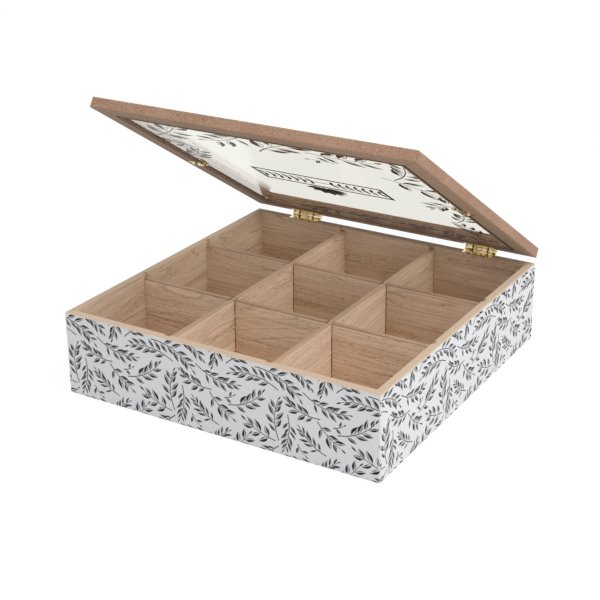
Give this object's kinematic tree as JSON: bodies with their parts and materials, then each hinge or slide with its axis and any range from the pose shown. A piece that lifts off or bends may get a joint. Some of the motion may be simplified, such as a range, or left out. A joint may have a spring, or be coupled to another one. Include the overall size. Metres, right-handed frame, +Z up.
{
  "type": "tea bag organizer box",
  "caption": "Square wooden box with compartments made by half-lapped boards, printed paper round the walls, and a glazed frame lid on brass butt hinges.",
  "frame": {"origin": "middle of the underside of the box, on the table", "axes": "+Z up, +X to the right as the open box is faced, +Y to the rear, where the hinges are"},
  "size_m": [0.24, 0.2448, 0.1988],
  "materials": {
    "wall_wood": "bare, finely sawn",
    "panel_wood": "bare thin panel",
    "printed_paper": "white with a black leaf print, satin",
    "fibreboard": "bare fine-grained board",
    "glass": "clear, with a black print",
    "brass": "bright plated sheet",
    "brass_screws": "bright"
  },
  "bodies": {
    "box": {"front_wall": "wall_wood", "rear_wall": "wall_wood", "left_wall": "wall_wood", "right_wall": "wall_wood", "bottom_panel": "panel_wood", "printed_wrap": "printed_paper", "long_divider_left": "wall_wood", "long_divider_right": "wall_wood", "cross_divider_front": "wall_wood", "cross_divider_rear": "wall_wood", "box_leaf_left": "brass", "box_leaf_right": "brass", "hinge_pin_left": "brass", "hinge_pin_right": "brass", "box_leaf_screws": "brass_screws"},
    "lid": {"lid_front_rail": "fibreboard", "lid_rear_rail": "fibreboard", "lid_left_stile": "fibreboard", "lid_right_stile": "fibreboard", "glass_pane": "glass", "glass_clip_left": "brass", "glass_clip_right": "brass", "clip_screws": "brass_screws", "lid_leaf_left": "brass", "lid_leaf_right": "brass", "lid_leaf_screws": "brass_screws"}
  },
  "joints": [
    {"name": "lid_hinge", "type": "hinge", "parent": "box", "child": "lid", "pos_m": [0, 0.1226, 0.06145], "axis": [-1, 0, 0], "range_deg": [-33, 147]}
  ]
}
